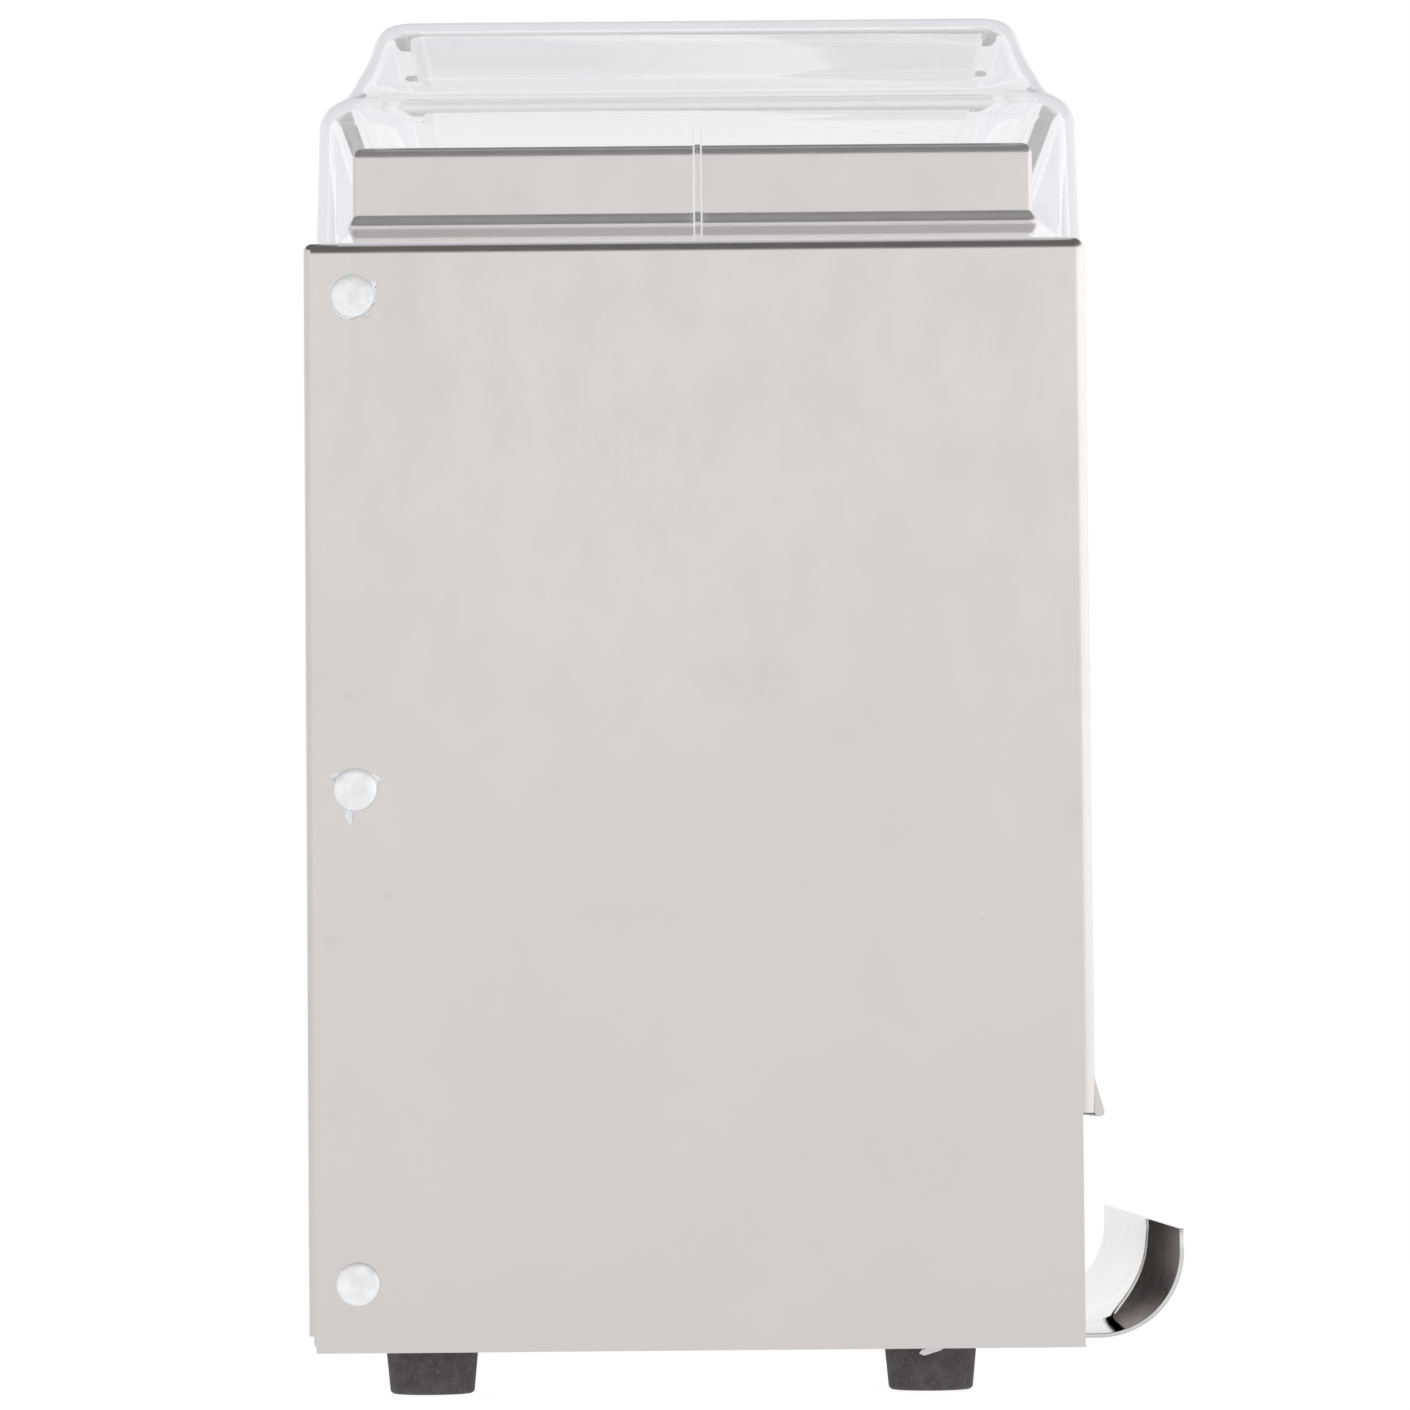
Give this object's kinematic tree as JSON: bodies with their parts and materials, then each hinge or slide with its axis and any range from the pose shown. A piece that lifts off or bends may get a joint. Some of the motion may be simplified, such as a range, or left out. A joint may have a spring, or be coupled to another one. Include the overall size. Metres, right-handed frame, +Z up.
{
  "type": "countertop gravity dispenser",
  "caption": "Folded stainless steel countertop dispenser with a clear lift-off lid, an inner sloped chute, a low front opening and a curved catch, on rubber feet.",
  "frame": {"origin": "on the resting surface, under the middle of the object's box", "axes": "+Z up, front opening and catch towards -Y, width along X"},
  "size_m": [0.3034, 0.2368, 0.3763],
  "materials": {
    "brushed_steel": "fine brushed grain, satin",
    "polished_steel": "polished with a faint grain",
    "rivet_aluminium": "matt silvery white",
    "zinc_plated_steel": "bright zinc plate",
    "foot_rubber": "matt moulded rubber, dusty",
    "clear_plastic": "clear moulded plastic, glossy"
  },
  "bodies": {
    "cabinet": {"cabinet_wrap": "brushed_steel", "back_panel": "brushed_steel", "base_pan": "brushed_steel", "hopper_collar": "brushed_steel", "hopper_left": "brushed_steel", "hopper_right": "brushed_steel", "hopper_front": "brushed_steel", "hopper_rear": "brushed_steel", "chute_ramp": "brushed_steel", "catch_tray": "polished_steel", "foot_front_left": "foot_rubber", "foot_front_right": "foot_rubber", "foot_rear_left": "foot_rubber", "foot_rear_right": "foot_rubber", "foot_screw_front_left": "zinc_plated_steel", "foot_screw_front_right": "zinc_plated_steel", "foot_screw_rear_left": "zinc_plated_steel", "foot_screw_rear_right": "zinc_plated_steel", "foot_washer_front_left": "zinc_plated_steel", "foot_washer_front_right": "zinc_plated_steel", "foot_washer_rear_left": "zinc_plated_steel", "foot_washer_rear_right": "zinc_plated_steel", "foot_nut_front_left": "zinc_plated_steel", "foot_nut_front_right": "zinc_plated_steel", "foot_nut_rear_left": "zinc_plated_steel", "foot_nut_rear_right": "zinc_plated_steel", "side_rivet_left_lower": "rivet_aluminium", "side_rivet_left_middle": "rivet_aluminium", "side_rivet_left_upper": "rivet_aluminium", "side_rivet_right_lower": "rivet_aluminium", "side_rivet_right_middle": "rivet_aluminium", "side_rivet_right_upper": "rivet_aluminium", "base_rivet_1": "rivet_aluminium", "base_rivet_2": "rivet_aluminium", "base_rivet_3": "rivet_aluminium", "catch_rivet_1": "rivet_aluminium", "catch_rivet_2": "rivet_aluminium", "catch_rivet_3": "rivet_aluminium", "catch_rivet_4": "rivet_aluminium"},
    "lid": {"lid": "clear_plastic"}
  },
  "joints": [
    {"name": "lid_lift", "type": "slide", "parent": "cabinet", "child": "lid", "axis": [0, 0, 1], "range_m": [0, 0.12]}
  ]
}
